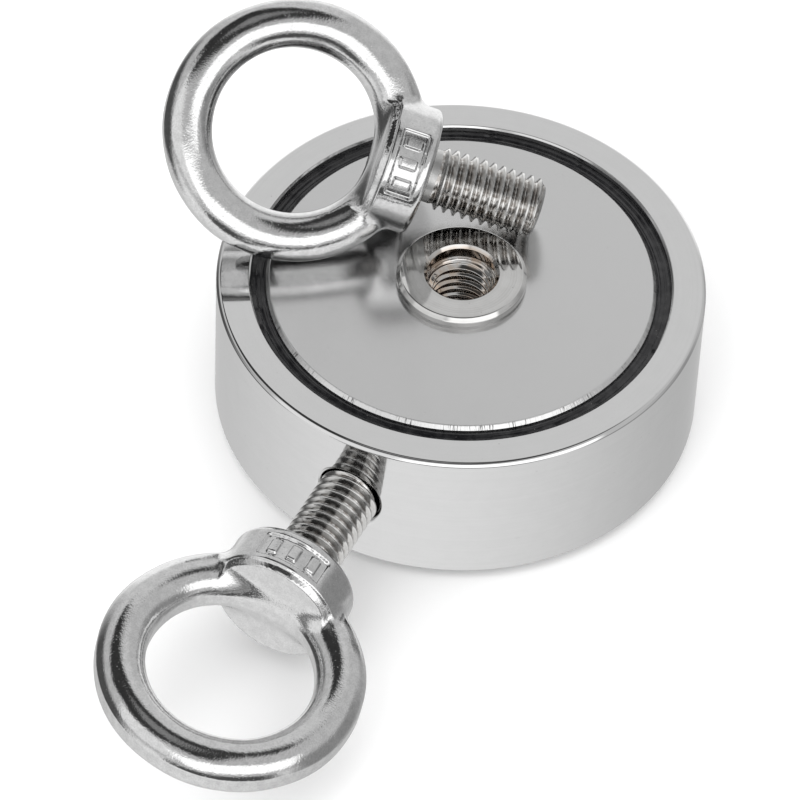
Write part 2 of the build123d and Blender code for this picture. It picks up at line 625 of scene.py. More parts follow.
@dataclass(frozen=True)
class PottingResin(Finish):
    """Glossy black potting resin, poured and set, with dust on it.

    Attributes:
        dust: colour of the dust.
        gloss: weight of the clear skin.
        skin_roughness: roughness of that skin.
        ior: refractive index.
        ripples_per_mm: flow ripples to a millimetre.
        ripple_height: how high they stand.
        grain_per_mm: features of the grain to a millimetre.
        grain_height: how high it stands.
        dust_per_mm: places for a grain of dust to a millimetre.
        clusters_per_mm: clusters of dust to a millimetre.
    """

    dust: Colour = (0.14, 0.135, 0.13)
    gloss: float = 0.25
    skin_roughness: float = 0.06
    ior: float = 1.42
    ripples_per_mm: float = 0.7
    ripple_height: float = 0.03
    grain_per_mm: float = 4.0
    grain_height: float = 0.0015
    dust_per_mm: float = 1.3
    clusters_per_mm: float = 0.3

    def look(self, tree: NodeTree) -> Look:
        """Flow ripples under a clear skin, with dust.

        Args:
            tree: the material's node tree.

        Returns:
            Its colour, roughness and relief.
        """
        place = tree.place()
        ripple = tree.noise(place, self.ripples_per_mm, 2.0)
        grain = tree.noise(place, self.grain_per_mm, 2.0)
        spots = tree.cells(place, self.dust_per_mm).ramp(0.14, 0.05)
        dusty = spots * tree.noise(place, self.clusters_per_mm, 2.0).ramp(0.5, 0.62)
        tone = tree.mix(ripple.ramp(0.35, 0.65), self.dark, self.light)
        colour = tree.mix(dusty * 0.7, tone, self.dust)
        share = grain.ramp(0.4, 0.7) * 0.5 + dusty * 0.5
        relief = ripple * self.ripple_height + grain * self.grain_height
        return Look(colour, self.spread(share), relief)

    def constants(self) -> "dict[str, Any]":
        """A dielectric with a clear skin."""
        skin = {"Coat Weight": self.gloss, "Coat Roughness": self.skin_roughness}
        return {"Metallic": 0.0, "IOR": self.ior, **skin}


@dataclass(frozen=True)
class AdhesiveFilm(Finish):
    """Grey adhesive, rolled out thin and cured.

    Attributes:
        clouds_per_mm: clouds of tone to a millimetre.
        bubbles_per_mm: bubbles to a millimetre.
        relief_height: height of both.
        ior: refractive index.
    """

    clouds_per_mm: float = 0.5
    bubbles_per_mm: float = 0.9
    relief_height: float = 0.02
    ior: float = 1.45

    def look(self, tree: NodeTree) -> Look:
        """Cloudy film with trapped bubbles.

        Args:
            tree: the material's node tree.

        Returns:
            Its colour, roughness and relief.
        """
        place = tree.place()
        cloud = tree.noise(place, self.clouds_per_mm, 4.0)
        bubbles = tree.cells(place, self.bubbles_per_mm).ramp(0.3, 0.15)
        colour = tree.mix(cloud.ramp(0.3, 0.7), self.dark, self.light)
        relief = cloud * self.relief_height + bubbles * self.relief_height
        return Look(colour, self.spread(cloud), relief)

    def constants(self) -> "dict[str, Any]":
        """A dielectric."""
        return {"Metallic": 0.0, "IOR": self.ior}


@dataclass(frozen=True)
class PaleSweep(Finish):
    """Matte white board that the studio's floor is made of.

    Attributes:
        clouds_per_mm: clouds of tone to a millimetre.
        cloud_height: their height.
    """

    clouds_per_mm: float = 0.01
    cloud_height: float = 0.01

    def look(self, tree: NodeTree) -> Look:
        """A barely uneven white.

        Args:
            tree: the material's node tree.

        Returns:
            Its colour, roughness and relief.
        """
        place = tree.place()
        cloud = tree.noise(place, self.clouds_per_mm, 2.0)
        colour = tree.mix(cloud, self.dark, self.light)
        return Look(colour, self.spread(cloud), cloud * self.cloud_height)

    def constants(self) -> "dict[str, Any]":
        """A dielectric with no shine."""
        return {"Metallic": 0.0, "Specular IOR Level": 0.0}


FORGED = ForgedSteel("polished_forging", (0.66, 0.66, 0.66), (0.54, 0.54, 0.54), 0.04, 0.12)
THREAD = RolledThread("rolled_thread", (0.70, 0.695, 0.685), (0.50, 0.495, 0.485), 0.05, 0.18)
NECK = BlastedNeck("blasted_neck", (0.52, 0.52, 0.515), (0.40, 0.40, 0.395), 0.3, 0.45)
POT_PLATE = NickelPlate("pot_nickel_plate", (0.655, 0.655, 0.655), (0.63, 0.63, 0.63), 0.055, 0.10)
BUSH_PLATE = NickelPlate(
    "bush_nickel_plate", (0.61, 0.607, 0.60), (0.52, 0.516, 0.508), 0.05, 0.12, rings=0.0005, tint_r=5.6
)
MAGNET_PLATE = SatinMagnet("magnet_satin_nickel", (0.645, 0.645, 0.645), (0.61, 0.61, 0.61), 0.19, 0.29)
RESIN = PottingResin("black_potting_resin", (0.014, 0.014, 0.015), (0.005, 0.005, 0.006), 0.14, 0.38)
ADHESIVE = AdhesiveFilm("cured_adhesive", (0.09, 0.09, 0.088), (0.045, 0.045, 0.045), 0.45, 0.7)
SWEEP = PaleSweep("pale_sweep", (0.93, 0.93, 0.93), (0.92, 0.92, 0.92), 0.8, 0.9)


# Meshes


@dataclass
class Shell:
    """A surface made of four-cornered faces, in millimetres.

    Attributes:
        points: x, y and z of each point.
        faces: the four points of each face.
        normals: exact normal at each face's corners, or zeros where Blender smooths.
        slots: number of each face's finish.
    """

    points: np.ndarray
    faces: np.ndarray
    normals: np.ndarray
    slots: np.ndarray

    @classmethod
    def plain(cls, points: np.ndarray, faces: np.ndarray, slot: int = 0) -> "Shell":
        """A shell that Blender smooths."""
        return cls(points, faces, np.zeros((len(faces), 4, 3)), np.full(len(faces), slot))

    @classmethod
    def joined(cls, *shells: "Shell") -> "Shell":
        """Puts shells together as one.

        Args:
            *shells: the shells, whose shared edges have the same points.

        Returns:
            One shell.
        """
        starts = np.cumsum([0] + [len(s.points) for s in shells])
        return cls(
            np.concatenate([s.points for s in shells]),
            np.concatenate([s.faces + start for s, start in zip(shells, starts)]),
            np.concatenate([s.normals for s in shells]),
            np.concatenate([s.slots for s in shells]),
        )

    def along_x(self) -> "Shell":
        """The same shell with its turning axis laid along X."""
        return Shell(self.points[:, [2, 0, 1]], self.faces, self.normals[..., [2, 0, 1]], self.slots)

    def to_piece(
        self,
        name: str,
        finishes: Sequence[Finish],
        placement: Matrix,
        body: str,
        nodes: Sequence[str],
        slot: str,
    ) -> bpy.types.Object:
        """Makes the Blender object and ties it to the frame.

        Args:
            name: the piece's name.
            finishes: finish of each slot number.
            placement: from the piece's own axes to the frame, in metres.
            body: the body that it rides on.
            nodes: the CAD nodes that it stands for.
            slot: the record's material slot; not used.

        Returns:
            The object.
        """
        mesh = bpy.data.meshes.new(name)
        mesh.from_pydata((self.points * MM).tolist(), [], self.faces.tolist())
        mesh.polygons.foreach_set("material_index", self.slots.astype(np.int32))
        exact = mesh.attributes.new("exact_normal", "FLOAT_VECTOR", "CORNER")
        exact.data.foreach_set("vector", self.normals.astype(np.float32).ravel())
        work = bmesh.new()
        work.from_mesh(mesh)
        bmesh.ops.remove_doubles(work, verts=work.verts, dist=SAME_SPOT)
        bmesh.ops.dissolve_degenerate(work, edges=work.edges, dist=SAME_SPOT)
        work.to_mesh(mesh)
        work.free()
        mesh.shade_smooth()
        own = mesh.attributes.new(OWN_PLACE, "FLOAT_VECTOR", "POINT")
        for vertex, spot in zip(mesh.vertices, own.data):
            spot.vector = vertex.co / MM
        mesh.transform(placement)
        kept = np.zeros(len(mesh.loops) * 3, np.float32)
        mesh.attributes["exact_normal"].data.foreach_get("vector", kept)
        mesh.attributes.remove(mesh.attributes["exact_normal"])
        turn = np.array(placement.to_3x3())
        mesh.normals_split_custom_set(kept.reshape(-1, 3) @ turn.T)
        for finish in finishes:
            mesh.materials.append(finish.material())
        piece = bpy.data.objects.new(name, mesh)
        bpy.context.scene.collection.objects.link(piece)
        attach(piece, body)
        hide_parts(*nodes)
        log.info("%s: %d faces, on body %s", name, len(mesh.polygons), body)
        return piece


@dataclass(frozen=True)
class Corner:
    """A corner of a turned outline.

    Attributes:
        r: distance from the axis.
        h: height along the axis.
        rounding: radius that the corner is rounded to.
    """

    r: float
    h: float
    rounding: float = 0.0


def right_of(step: np.ndarray) -> np.ndarray:
    """Unit vector to the right of a step."""
    return np.array((step[1], -step[0])) / np.hypot(*step)


def turned(vector: np.ndarray, angle: float) -> np.ndarray:
    """A flat vector turned counterclockwise."""
    c, s = math.cos(angle), math.sin(angle)
    return np.array((c * vector[0] - s * vector[1], s * vector[0] + c * vector[1]))


def trace(corners: Sequence[Corner]) -> "tuple[np.ndarray, np.ndarray, np.ndarray]":
    """Walks an outline that keeps the material on its left, rounding its corners.

    Args:
        corners: the outline's corners, in order.

    Returns:
        Its points, and the outward normals where each stretch starts and ends.
    """
    spots = [np.array((c.r, c.h)) for c in corners]
    points, starts, ends = [spots[0]], [], []

    def straight(to: np.ndarray) -> None:
        """Adds a straight stretch.

        Args:
            to: where it ends.
        """
        if np.hypot(*(to - points[-1])) > NO_LENGTH:
            out = right_of(to - points[-1])
            starts.append(out)
            ends.append(out)
            points.append(to)

    for before, here, corner, after in zip(spots, spots[1:], corners[1:], spots[2:]):
        come = (here - before) / np.hypot(*(here - before))
        go = (after - here) / np.hypot(*(after - here))
        turn = math.atan2(come[0] * go[1] - come[1] * go[0], float(come @ go))
        straight(here - come * corner.rounding * math.tan(abs(turn) / 2))
        if not corner.rounding:
            continue
        side = math.copysign(corner.rounding, turn)
        centre = points[-1] - right_of(come) * side
        steps = max(3, math.ceil(abs(turn) / ARC_STEP))
        outs = [turned(right_of(come), turn * i / steps) for i in range(steps + 1)]
        for out, next_out in zip(outs, outs[1:]):
            starts.append(out)
            ends.append(next_out)
            points.append(centre + next_out * side)
    straight(spots[-1])
    return np.array(points), np.array(starts), np.array(ends)


def around(flat: np.ndarray, segments: int) -> np.ndarray:
    """Copies a flat outline round the Z axis.

    Args:
        flat: rows of distance from the axis and height.
        segments: copies to a turn.

    Returns:
        For each row, its x, y and z at each copy.
    """
    angle = np.arange(segments) * 2 * np.pi / segments
    r, h = flat[:, 0:1], flat[:, 1:2]
    return np.stack([r * np.cos(angle), r * np.sin(angle), h + 0 * angle], axis=-1)


def lathe(
    corners: Sequence[Corner],
    segments: int,
    slot: int = 0,
    wobble: "Field | None" = None,
) -> Shell:
    """Turns an outline round the Z axis.

    Args:
        corners: the outline, with the material on its left.
        segments: faces to a turn.
        slot: number of its finish.
        wobble: moves the points off the true shape, and Blender then smooths the surface.

    Returns:
        The turned shell.
    """
    points, starts, ends = trace(corners)
    grid = around(points, segments)
    row, column = np.meshgrid(np.arange(len(points) - 1), np.arange(segments), indexing="ij")
    following = (column + 1) % segments
    numbers = [row * segments + column, row * segments + following]
    numbers += [(row + 1) * segments + following, (row + 1) * segments + column]
    faces = np.stack(numbers, axis=-1).reshape(-1, 4)
    if wobble:
        return Shell.plain(wobble(grid).reshape(-1, 3), faces, slot)
    low, high = around(starts, segments), around(ends, segments)
    corners_out = [low, np.roll(low, -1, 1), np.roll(high, -1, 1), high]
    normals = np.stack(corners_out, axis=2).reshape(-1, 4, 3)
    return Shell(grid.reshape(-1, 3), faces, normals, np.full(len(faces), slot))


@dataclass(frozen=True)
class ThreadForm:
    """One pitch of a helical thread.

    Attributes:
        pitch: distance from crest to crest.
        crest_r: radius of the crests.
        root_r: radius of the roots.
        half: from root centre to crest centre, (share of the pitch, share of the depth).
    """

    pitch: float
    crest_r: float
    root_r: float
    half: "tuple[tuple[float, float], ...]"

    def rows(self) -> "tuple[np.ndarray, np.ndarray]":
        """Lays out one whole pitch.

        Returns:
            The place within the pitch, and the radius, of each row of points.
        """
        back = tuple((1 - place, depth) for place, depth in self.half[-2:0:-1])
        place, depth = np.array(self.half + back).T
        return place, self.crest_r + (self.root_r - self.crest_r) * depth


@dataclass(frozen=True)
class ThreadEnd:
    """Where a thread runs out.

    Attributes:
        h: height of its end.
        r: radius there.
        fade: length over which the thread comes to its full form.
    """

    h: float
    r: float
    fade: float


def helix(
    form: ThreadForm,
    low: ThreadEnd,
    high: ThreadEnd,
    segments: int,
    inside: bool,
    slot: int = 0,
) -> Shell:
    """Makes a right-hand helical thread round the Z axis, its rows following the helix.

    Args:
        form: the thread's form.
        low: its lower end.
        high: its upper end.
        segments: faces to a turn.
        inside: whether it is cut in a bore.
        slot: number of its finish.

    Returns:
        The thread, closed round the axis and open at both ends.
    """
    place, radius = form.rows()
    per_turn = len(place)
    pitches = math.ceil((high.h - low.h) / form.pitch) + 2
    rise = (np.arange(-1, pitches)[:, None] + place[None, :]).ravel()
    angle = np.arange(segments) / segments
    h = np.clip(low.h + form.pitch * (rise[:, None] + angle[None, :]), low.h, high.h)
    r = np.tile(radius, pitches + 1)[:, None] + 0 * h
    for end in (low, high):
        share = np.clip(np.abs(h - end.h) / end.fade, 0, 1)
        share = share * share * (3 - 2 * share)
        r = end.r + (r - end.r) * share
    points = np.stack([r * np.cos(2 * np.pi * angle), r * np.sin(2 * np.pi * angle), h], axis=-1)
    row, column = np.meshgrid(np.arange(len(rise) - 1), np.arange(segments), indexing="ij")
    last = column == segments - 1
    keep = ~last | (row + 1 + per_turn < len(rise))
    beside_row, beside_column = row + per_turn * last, (column + 1) % segments
    numbers = [row * segments + column, beside_row * segments + beside_column]
    numbers += [(beside_row + 1) * segments + beside_column, (row + 1) * segments + column]
    faces = np.stack(numbers, axis=-1)[keep]
    return Shell.plain(points.reshape(-1, 3), faces[:, ::-1] if inside else faces, slot)


CELL_CORNERS = np.array([(i, j, k) for i in (0, 1) for j in (0, 1) for k in (0, 1)])


def skin(field_of: Field, low: Sequence[float], high: Sequence[float], step: float) -> Shell:
    """Wraps the zero surface of a distance field in a net of faces that lie on it.

    Args:
        field_of: distance of points from the surface, negative inside.
        low: lowest corner of the space to search.
        high: highest corner.
        step: size of a cell.

    Returns:
        The surface, with exact normals.
    """
    axes = [np.arange(a, b + step, step) for a, b in zip(low, high)]
    nodes = np.stack(np.meshgrid(*axes, indexing="ij"), axis=-1)
    value = field_of(nodes.reshape(-1, 3)).reshape(nodes.shape[:3])
    inside = value < 0
    size = np.array(inside.shape) - 1

    def shifted(grid: np.ndarray, corner: np.ndarray) -> np.ndarray:
        """The grid's values at one corner of every cell."""
        i, j, k = corner
        return grid[i : i + size[0], j : j + size[1], k : k + size[2]]

    count = sum(shifted(inside, c).astype(np.int8) for c in CELL_CORNERS)
    mixed = (count > 0) & (count < 8)
    cells = np.argwhere(mixed)
    number = np.full(size, -1)
    number[mixed] = np.arange(len(cells))
    points = (cells + 0.5) * step + np.array(low)
    normals = slope(field_of, points)
    for _ in range(NEWTON_PASSES):
        points = points - normals * np.clip(field_of(points), -step, step)[:, None]
        normals = slope(field_of, points)
    faces = []
    for axis in range(3):
        ends = [slice(None)] * 3
        starts = [slice(None)] * 3
        starts[axis], ends[axis] = slice(0, -1), slice(1, None)
        first, second = inside[tuple(starts)], inside[tuple(ends)]
        for leaving in (True, False):
            edge = np.argwhere((first != second) & (first == leaving))
            u, v = np.zeros(3, int), np.zeros(3, int)
            u[(axis + 1) % 3], v[(axis + 2) % 3] = 1, 1
            loop = [edge - u - v, edge - v, edge, edge - u]
            quad = np.stack([number[tuple(c.T)] for c in loop], axis=-1)
            faces.append(quad if leaving else quad[:, ::-1])
    faces = np.concatenate(faces)
    return Shell(points, faces, normals[faces], np.zeros(len(faces), int))


def slope(field_of: Field, points: np.ndarray) -> np.ndarray:
    """Works out the outward direction of a distance field.

    Args:
        field_of: the field.
        points: rows of x, y, z.

    Returns:
        A unit vector for each row.
    """
    pairs = [(points + SLOPE_STEP * unit, points - SLOPE_STEP * unit) for unit in np.eye(3)]
    rise = np.stack([field_of(ahead) - field_of(behind) for ahead, behind in pairs], axis=-1)
    return rise / np.maximum(np.linalg.norm(rise, axis=1, keepdims=True), FLAT_SLOPE)


def blended(a: np.ndarray, b: np.ndarray, radius: float) -> np.ndarray:
    """Union of two distance fields with a fillet."""
    share = np.clip(0.5 + 0.5 * (b - a) / radius, 0, 1)
    return b + (a - b) * share - radius * share * (1 - share)


def trimmed(a: np.ndarray, b: np.ndarray, radius: float) -> np.ndarray:
    """Intersection of two distance fields with a softened edge."""
    return -blended(-a, -b, radius)


def rounded_plate(u: np.ndarray, v: np.ndarray, half: "tuple[float, float]", corner: float) -> np.ndarray:
    """Distance from a flat rectangle with rounded corners."""
    a, b = np.abs(u) - half[0] + corner, np.abs(v) - half[1] + corner
    return np.hypot(np.maximum(a, 0), np.maximum(b, 0)) + np.minimum(np.maximum(a, b), 0) - corner


def within(distance: np.ndarray, edge: float) -> np.ndarray:
    """1 inside a shape, 0 outside it, and smooth across an edge of that width."""
    share = np.clip(0.5 - distance / edge, 0, 1)
    return share * share * (3 - 2 * share)


# The frame's sizes


def box_mm(node: str) -> "tuple[Vector, Vector]":
    """Lowest and highest corner of a CAD node, in millimetres."""
    low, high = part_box(node)
    return low / MM, high / MM


def mount(name: str) -> "dict[str, Any]":
    """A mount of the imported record."""
    return next(m for m in frame["record"]["mounts"] if m["name"] == name)


POT_LOW, POT_HIGH = box_mm("steel_pot")
MID_Z = (POT_LOW.z + POT_HIGH.z) / 2
THREAD_PITCH = 1.5
SLEEVE_R = 7.0

# Half a pitch of each thread, from root to crest: (share of the pitch, share of the depth)
BORE_THREAD = (
    (0, 1),
    (0.06, 0.99),
    (0.1, 0.92),
    (0.15, 0.8),
    (0.33, 0.22),
    (0.37, 0.08),
    (0.41, 0.0),
    (0.5, 0.0),
)
SHANK_THREAD = (
    (0, 1),
    (0.06, 0.99),
    (0.1, 0.95),
    (0.14, 0.86),
    (0.38, 0.13),
    (0.405, 0.045),
    (0.435, 0.0),
    (0.465, 0.01),
    (0.5, 0.07),
)


class Side(Enum):
    """A side of the pot."""

    UPPER = "upper"
    LOWER = "lower"

    def placement(self) -> Matrix:
        """From a side's own axes, with its face up, to the frame."""
        angle = 0.0 if self is Side.UPPER else math.pi
        return Matrix.Translation((0, 0, MID_Z * MM)) @ Matrix.Rotation(angle, 4, "X")


class SubAssembly(ABC):
    """A part of the object that is built and dressed as one."""

    @abstractmethod
    def build(self) -> None:
        """Makes its pieces and gives them their finishes."""


# The pot


@dataclass
class SteelPot(SubAssembly):
    """The turned pot: two pockets with a web between them, and a hole in its wall.

    Attributes:
        outer_r: radius of the wall.
        pocket_r: radius of the pockets.
        seat_r: radius of the bush seats.
        rim_h: height of the rims over the middle.
        floor_h: height of the pocket floors over the middle.
        seat_h: height of the seat floors over the middle.
        outer_chamfer: chamfer between wall and rim.
        inner_chamfer: chamfer between rim and pocket.
        pocket_fillet: rounding at the foot of a pocket's wall.
        inner_edge: rounding of the rim's inner edges.
        edge: rounding where the wall meets its chamfer.
        rim_edge: rounding where the rim meets that chamfer.
        hole_r: radius of the side hole.
        hole_sink: depth of its countersink.
        hole_depth: depth of the hole.
        segments: faces to a turn.
        patch: half width of the square left for the hole, in wall faces.
        patch_rings: loops of points from the hole's mouth to the square.
        patch_crowding: how much closer those loops lie near the mouth.
        mouth_passes: passes that fit the mouth to the curved wall.
    """

    outer_r: float = POT_HIGH.x
    pocket_r: float = box_mm("upper_seal_ring")[1].x
    seat_r: float = SLEEVE_R
    rim_h: float = POT_HIGH.z - MID_Z
    floor_h: float = box_mm("upper_adhesive_film")[0].z - MID_Z
    seat_h: float = box_mm("upper_bush")[0].z - MID_Z
    outer_chamfer: float = 0.5
    inner_chamfer: float = 0.3
    pocket_fillet: float = 0.2
    inner_edge: float = 0.16
    edge: float = 0.33
    rim_edge: float = 0.7
    hole_r: float = 4.98
    hole_sink: float = 0.9
    hole_depth: float = 19.5
    segments: int = 240
    patch: int = 8
    patch_rings: int = 7
    patch_crowding: float = 1.3
    mouth_passes: int = 12

    def half_outline(self) -> "list[Corner]":
        """Draws the upper half of the section.

        Returns:
            Its corners, from the wall over the rim to the axis.
        """
        return [
            Corner(self.outer_r, self.wall_h()),
            Corner(self.outer_r, self.rim_h - self.outer_chamfer, self.edge),
            Corner(self.outer_r - self.outer_chamfer, self.rim_h, self.rim_edge),
            Corner(self.pocket_r + self.inner_chamfer, self.rim_h, self.inner_edge),
            Corner(self.pocket_r, self.rim_h - self.inner_chamfer, self.inner_edge),
            Corner(self.pocket_r, self.floor_h, self.pocket_fillet),
            Corner(self.seat_r, self.floor_h),
            Corner(self.seat_r, self.seat_h),
            Corner(0.0, self.seat_h),
        ]

    def wall_h(self) -> float:
        """Height at which the plain wall meets the rim's section."""
        return self.rim_h - 2 * self.outer_chamfer

    def on_wall(self, along: np.ndarray, h: np.ndarray) -> np.ndarray:
        """Points of the wall at a distance along it from the hole's axis."""
        angle = along / self.outer_r - math.pi / 2
        return np.stack([self.outer_r * np.cos(angle), self.outer_r * np.sin(angle), h], axis=-1)

    def loops_to_shell(
        self,
        loops: "list[np.ndarray]",
        normals: "list[tuple[np.ndarray, np.ndarray]]",
    ) -> Shell:
        """Joins loops of points, each further out or nearer the mouth than the last.

        Args:
            loops: the loops, all with the same number of points.
            normals: for each gap between loops, the normals at its two sides.

        Returns:
            The faces between the loops.
        """
        count = len(loops[0])
        here = np.arange(count)
        following = (here + 1) % count
        faces, outs = [], []
        for gap, (inner, outer) in enumerate(normals):
            a, b = gap * count, (gap + 1) * count
            faces.append(np.stack([a + here, b + here, b + following, a + following], axis=-1))
            outs.append(np.stack([inner, outer, outer[following], inner[following]], axis=1))
        made = np.concatenate(faces)
        return Shell(np.concatenate(loops), made, np.concatenate(outs), np.zeros(len(made), int))

    def wall(self) -> Shell:
        """Makes the wall.

        Returns:
            The wall, with a square left out round the side hole.
        """
        step = 2 * math.pi * self.outer_r / self.segments
        rows = np.arange(-self.patch, self.patch + 1) * step
        rows = np.concatenate([[-self.wall_h()], rows, [self.wall_h()]])
        along = np.arange(self.segments) * step
        grid = self.on_wall(*np.meshgrid(along, rows))
        out = grid * (1, 1, 0) / self.outer_r
        row, column = np.meshgrid(np.arange(len(rows) - 1), np.arange(self.segments), indexing="ij")
        near = (column < self.patch) | (column >= self.segments - self.patch)
        keep = ~(near & (row > 0) & (row < len(rows) - 2))
        following = (column + 1) % self.segments
        numbers = [row * self.segments + column, row * self.segments + following]
        numbers += [(row + 1) * self.segments + following, (row + 1) * self.segments + column]
        faces = np.stack(numbers, axis=-1)[keep]
        flat_out = out.reshape(-1, 3)
        return Shell(grid.reshape(-1, 3), faces, flat_out[faces], np.zeros(len(faces), int))

    def side_hole(self) -> Shell:
        """Makes the side hole and the wall round it.

        Returns:
            The square of wall, the countersink, the bore and its blind end.
        """
        step = 2 * math.pi * self.outer_r / self.segments
        n = self.patch
        run = np.arange(-n, n)
        square = [(i, -n) for i in run] + [(n, i) for i in run]
        square += [(-i, n) for i in run] + [(-n, -i) for i in run]
        flat = np.array(square) * step
        angle = np.arctan2(flat[:, 1], flat[:, 0])
        c, s = np.cos(angle), np.sin(angle)
        mouth = np.full(len(angle), self.hole_r + self.hole_sink)
        for _ in range(self.mouth_passes):
            sunk = self.outer_r - np.sqrt(self.outer_r**2 - (mouth * c) ** 2)
            mouth = self.hole_r + self.hole_sink - sunk
        rim = np.stack([self.outer_r * np.arcsin(mouth * c / self.outer_r), mouth * s], axis=-1)
        shares = np.linspace(0, 1, self.patch_rings) ** self.patch_crowding
        wall_loops = [self.on_wall(*(rim + (flat - rim) * share).T) for share in shares]
        wall_outs = [loop * (1, 1, 0) / self.outer_r for loop in wall_loops]
        cone = np.stack([-c, np.full(len(c), -1.0), -s], axis=-1) / math.sqrt(2)
        lip = wall_outs[0] + cone
        lip = wall_outs[0] = lip / np.linalg.norm(lip, axis=1, keepdims=True)
        patch = self.loops_to_shell(wall_loops, list(zip(wall_outs, wall_outs[1:])))

        def circle(radius: float, y: float) -> np.ndarray:
            """A loop round the hole's axis."""
            return np.stack([radius * c, np.full(len(c), y), radius * s], axis=-1)

        inward = circle(-1.0, 0.0)
        outward = np.tile((0.0, -1.0, 0.0), (len(c), 1))
        mouth_y, end_y = -self.outer_r + self.hole_sink, -self.outer_r + self.hole_depth
        bore_loops = [circle(self.hole_r, end_y), circle(self.hole_r, mouth_y)]
        loops = [circle(0.0, end_y), *bore_loops, wall_loops[0]]
        bore = self.loops_to_shell(loops, [(outward, outward), (inward, inward), (cone, lip)])
        return Shell.joined(patch, bore)

    def build(self) -> None:
        """Makes the pot from its two rims, its wall and its hole."""
        upper = self.half_outline()
        lower = [Corner(c.r, -c.h, c.rounding) for c in reversed(upper)]
        rims = [lathe(outline, self.segments) for outline in (upper, lower)]
        shell = Shell.joined(*rims, self.wall(), self.side_hole())
        placement = Side.UPPER.placement()
        shell.to_piece("pot_shell", [POT_PLATE], placement, "pot", ["steel_pot"], "pot_nickel")


# What each side of the pot holds


